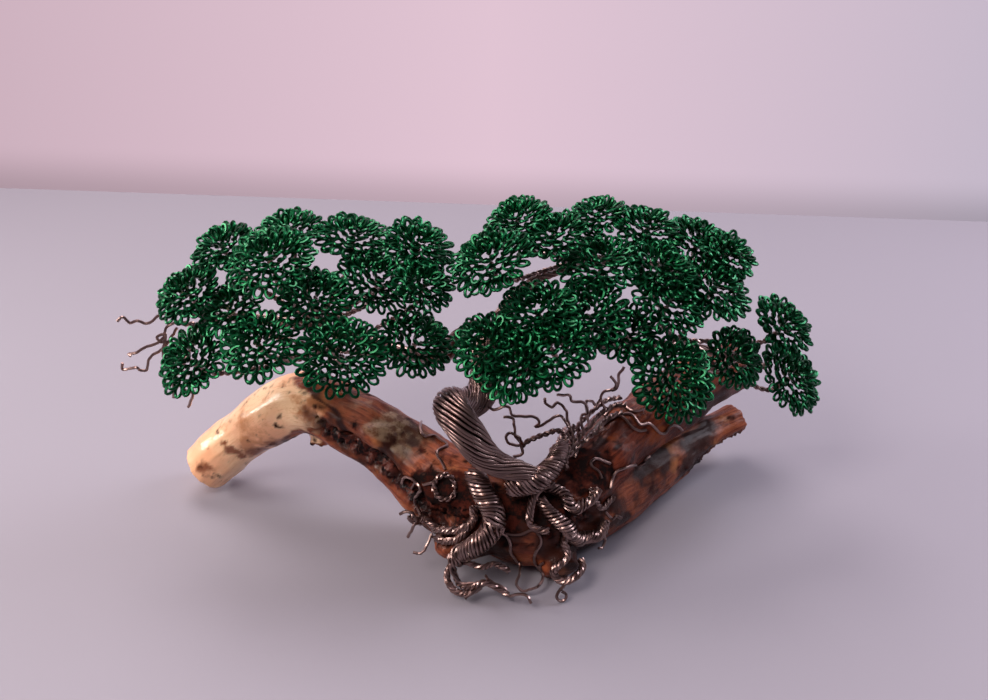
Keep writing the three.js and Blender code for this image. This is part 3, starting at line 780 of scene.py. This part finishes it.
LOOP_STEM = [(42, -10, 42), (37, -10, 45), (33.5, -11.5, 48.5), (28, -13, 47.5), (23.5, -14.5, 46.5),
             (20.5, -16, 45)]


def crinkle(route):
    """A wire's route with the small kinks that pliers leave."""
    path = smooth(route, 0.6)
    wobble = np.array([[noise.noise(Vector(p) / KINK_LENGTH + Vector((shift, 0, 0))) for shift in (0, 9, 21)]
                       for p in path[:, :3]])
    return path[:, :3] + wobble * KINK


lying = [hugging(crinkle(route), SEATED, 3.0) for route in LYING_ENDS]
front = [hugging(crinkle(route), SEATED, 1.0) for route in FRONT_ENDS]
for name, (cad_node, routes) in STANDING_ENDS.items():
    lines = [crinkle(route) for route in routes]
    if name == "looped_ends":
        lines += twisted_pair(LOOP_STEM, 0.7)
    if name == "toe_ends":
        lines += lying + front
    lines = [np.c_[line[:, :2], np.maximum(line[:, 2], WIRE * 0.55)] for line in lines]
    fit(rods(name, lines, WIRE, 1), brown_wire, "brown_wire", cad_node)

# ------------------------------------------------------------------ dead twigs
# Three bare, crinkled ends at the far left of the crown, twisted in pairs where they leave the branch
# and single at their tips.
DEAD_TWIGS = {
    "bare_twig_upper": ("dead_twig_upper", [(-100, 18, 81), (-106, 17, 83), (-112, 16, 84)], [
        [(-112, 16, 84), (-116.5, 15.5, 83), (-122, 15, 79.5), (-125, 14.5, 81), (-128, 14.5, 80),
         (-129.5, 14, 82.5), (-130.5, 13.5, 83), (-132, 13, 81.5)]]),
    "bare_twig_middle": ("dead_twig_middle", [(-100, 17, 78), (-106, 16.5, 78.5), (-111.5, 16, 79.5)], [
        [(-111.5, 16, 79.5), (-115, 15.5, 77.5), (-116.5, 15, 73.5), (-120, 14.5, 71), (-124, 14.5, 69.5),
         (-127, 14, 67.5), (-130.5, 13.5, 67), (-129.5, 13, 66.5)],
        [(-115.5, 15, 75), (-117, 15, 75), (-119, 15, 73.5), (-118, 15, 71.5), (-116, 15, 72.5),
         (-115.5, 15, 75)],
        [(-111, 16, 77), (-115, 15, 71.5), (-118.5, 14.5, 68), (-123, 14, 65), (-125, 14, 59.5),
         (-127.5, 13.5, 60), (-128, 13, 61.5), (-130.5, 13, 61), (-133.5, 12.5, 61), (-133, 12, 64)],
        [(-115.5, 15, 72.5), (-117, 14, 69.5), (-117, 13, 66.5), (-115.5, 12, 62.5)]]),
    "bare_twig_lower": ("dead_twig_lower", [(-100, 17, 77), (-106, 13, 70), (-110, 8, 62)], [
        [(-110, 8, 64), (-112, 5, 62), (-112.5, 5, 56), (-113, 5, 52.5)],
        [(-109, 8, 64), (-107.5, 4, 61), (-108, 4, 57), (-105, 3.5, 55.5), (-105.5, 3, 53.5),
         (-107.5, 3, 49.5)]]),
}
for name, (cad_node, stem, ends) in DEAD_TWIGS.items():
    lines = twisted_pair(stem, 0.8) + [crinkle(end) for end in ends]
    fit(rods(name, lines, WIRE, 1), brown_wire, "brown_wire", cad_node)

# ------------------------------------------------------------------ rosettes
# Each pad of leaves is one green wire bent round a rod into a chain of small loops. The chain is wound
# in a spiral on a low dome. The loops in its middle and on its upper side stand up, and the others at
# the rim lie flatter.
LEFT_CORE = (-58, 15, 74)
LEFT_ROSETTES = [  # place and rim radius
    (-100, 8, 93, 12.6), (-89, 20, 105.5, 11.8), (-69, 4, 107.5, 14), (-65.5, 24, 109.5, 11.4),
    (-43.5, 26, 106.5, 12), (-19, 18, 107.5, 11.8), (-34, 10, 97, 13.5), (-98, -6, 73.5, 12.4),
    (-72, -12, 83.5, 12.6), (-44, -16, 81.5, 13.8), (-20, -4, 80, 12.6), (-54, 0, 95, 12.4),
    (-84, 2, 90, 11.6), (-16.5, 2, 99.5, 10.8)]
RIGHT_CORE = (57, 15, 76)
RIGHT_ROSETTES = [
    (10, 6, 107, 13.2), (19.5, 26, 112.5, 12.4), (32.5, 16, 112, 11), (49.5, 32, 112.5, 11),
    (67, 28, 109, 12.6), (86, 30, 104, 12), (95.5, 22, 102, 11.8), (70.5, 10, 101, 13),
    (89, 10, 94, 13.2), (72, 0, 94, 12.4), (117, 14, 76.5, 12.8), (122.5, 14, 54, 14),
    (72.5, -18, 74, 14.4), (97.5, 2, 70, 12), (9.5, -14, 84, 12), (18.5, -22, 81, 12),
    (31.5, -18, 84.5, 12.6), (26.5, -8, 94, 13), (44, -6, 91.5, 13.4), (57.5, -6, 85, 10.8),
    (48.5, 10, 103.5, 12.6)]
UP_AND_FRONT = (0, -0.36, 0.93)
OUTWARD_SHARE = 0.6
RIM_SPREAD = 1.18
LOOP_LONG = 4.6
LOOP_WIDE = 2.7
LOOP_PITCH = 3.8
SPIRAL_PITCH = 2.35
DOME_RISE = 0.5
DOME_WAVE = 0.35
RIM_TILT = 22  # degrees that a loop at the rim stands up from the dome
MIDDLE_TILT = 40  # added towards the middle
UPPER_TILT = 26  # added towards the upper side
TILT_SPREAD = 17  # either way, by chance
LOOP_SAMPLES = 13


def facing_of(place, core):
    """The way a rosette faces: up, to the front, and out from the middle of its side of the crown."""
    outward = (Vector(place[:3]) - Vector(core)).normalized()
    return (Vector(UP_AND_FRONT) + outward * OUTWARD_SHARE).normalized()


def looped_wire(rim, draw):
    """One continuous wire of loops, wound from the middle to the rim of a dome that faces +Z."""
    last = rim - LOOP_LONG - WIRE / 2
    turns = draw.uniform(0, FULL_TURN)
    reach = 0.5
    bases = []
    while reach < last:
        bases.append((turns, reach))
        step = LOOP_PITCH * draw.uniform(0.92, 1.08) / (reach + LOOP_LONG * 0.5)
        turns += step
        reach += SPIRAL_PITCH * step / FULL_TURN
    rim_loops = round(FULL_TURN * (last + LOOP_LONG * 0.5) / LOOP_PITCH)
    for _ in range(rim_loops):
        bases.append((turns, last + draw.uniform(-0.5, 0.5)))
        turns += FULL_TURN / rim_loops
    bases.append((turns, last))
    bases = np.array(bases)
    t = np.arange(LOOP_SAMPLES) / LOOP_SAMPLES * 2 * math.pi
    # the wire moves on along the spiral only near the foot of each loop, so that the loops look closed
    weight = ((1 + np.cos(t)) / 2) ** 4
    share = np.r_[0, np.cumsum((weight + np.roll(weight, -1)) / 2)][:-1] / weight.sum()
    line = []
    wave = draw.uniform(0, FULL_TURN)
    for k in range(len(bases) - 1):
        inward = 1 - min(1, bases[k, 1] / last)
        upper = max(0, math.sin(bases[k, 0]))
        chance = draw.uniform(-TILT_SPREAD, TILT_SPREAD)
        tilt = math.radians(RIM_TILT + MIDDLE_TILT * inward + UPPER_TILT * upper + chance)
        long = LOOP_LONG * draw.uniform(0.9, 1.1) / 2
        wide = LOOP_WIDE * draw.uniform(0.9, 1.12) / 2
        lean = math.radians(draw.uniform(-9, 9))
        for i in range(LOOP_SAMPLES):
            turn, reach = bases[k] + (bases[k + 1] - bases[k]) * share[i]
            height = DOME_RISE * rim * (1 - (reach / rim) ** 2) + DOME_WAVE * math.sin(2 * turn + wave)
            slope = math.atan(2 * DOME_RISE * reach / rim)
            out = np.array([math.cos(turn), math.sin(turn), 0])
            side = np.array([-math.sin(turn), math.cos(turn), 0])
            up = np.array([0, 0, 1])
            pitch = tilt - slope
            toward = out * math.cos(pitch) + up * math.sin(pitch)
            face = up * math.cos(pitch) - out * math.sin(pitch)
            along = long * (1 - math.cos(t[i]))
            across = wide * math.sin(t[i])
            along, across = (along * math.cos(lean) - across * math.sin(lean) * 0.5,
                             across + along * math.sin(lean))
            lift = (t[i] / FULL_TURN - 0.5) * WIRE * 1.05
            line.append(out * reach + up * height + toward * along + side * across + face * lift)
    return np.array(line)


green_wire = coloured_wire("emerald_enamelled_wire", "#033d23", "#08572f", 0.34, 0.2)
for side, core_place, rosettes, seed in (
        ("left", LEFT_CORE, LEFT_ROSETTES, 100), ("right", RIGHT_CORE, RIGHT_ROSETTES, 500)):
    for number, place in enumerate(rosettes, 1):
        draw = random.Random(number * 17 + seed)
        face = facing_of(place, core_place)
        turned = face.to_track_quat("Z", "Y").to_matrix()
        stretch = (draw.uniform(0.93, 1.1), draw.uniform(0.9, 1.08), 1)
        line = looped_wire(place[3] * RIM_SPREAD, draw) * stretch @ np.array(turned).T + np.array(place[:3])
        pad = rods(f"leaf_loops_{side}_{number:02d}", [line], WIRE, 1)
        fit(pad, green_wire, "green_wire", f"rosette_{side}_{number:02d}")

# ------------------------------------------------------------------ twigs
# The two ends of each rosette's wire, twisted together, run down to a main branch. The ones that leave
# a branch together make one spray.
STALK = 7
SEAT_SHARE = 0.8
SPRAYS = [  # name, node, where it leaves its branch, side and rosettes
    ("spray_left_upper", "twigs_left_upper", (-58, 19, 78), "left", range(1, 8)),
    ("spray_left_lower", "twigs_left_lower", (-53, 17, 67), "left", range(8, 15)),
    ("spray_right_upper", "twigs_right_upper", (47, 28, 101), "right", range(1, 8)),
    ("spray_right_outer", "twigs_right_outer", (80, 17, 71), "right", range(8, 15)),
    ("spray_right_lower", "twigs_right_lower", (30, 13, 77), "right", range(15, 22)),
]
for name, cad_node, root_place, side, numbers in SPRAYS:
    rosettes, core_place = (LEFT_ROSETTES, LEFT_CORE) if side == "left" else (RIGHT_ROSETTES, RIGHT_CORE)
    strands = []
    for number in numbers:
        place = rosettes[number - 1]
        face = np.array(facing_of(place, core_place))
        seat = np.array(place[:3]) + face * place[3] * DOME_RISE * SEAT_SHARE
        neck = np.array(place[:3]) - face * STALK
        start = np.array(root_place, float)
        middle = start + (neck - start) * 0.5 + np.array([0, SPARE.uniform(-1, 1), SPARE.uniform(-2, 0)])
        strands += twisted_pair([start, middle, neck, seat], 0.9)
    fit(rods(name, strands, WIRE, 1), brown_wire, "brown_wire", cad_node)
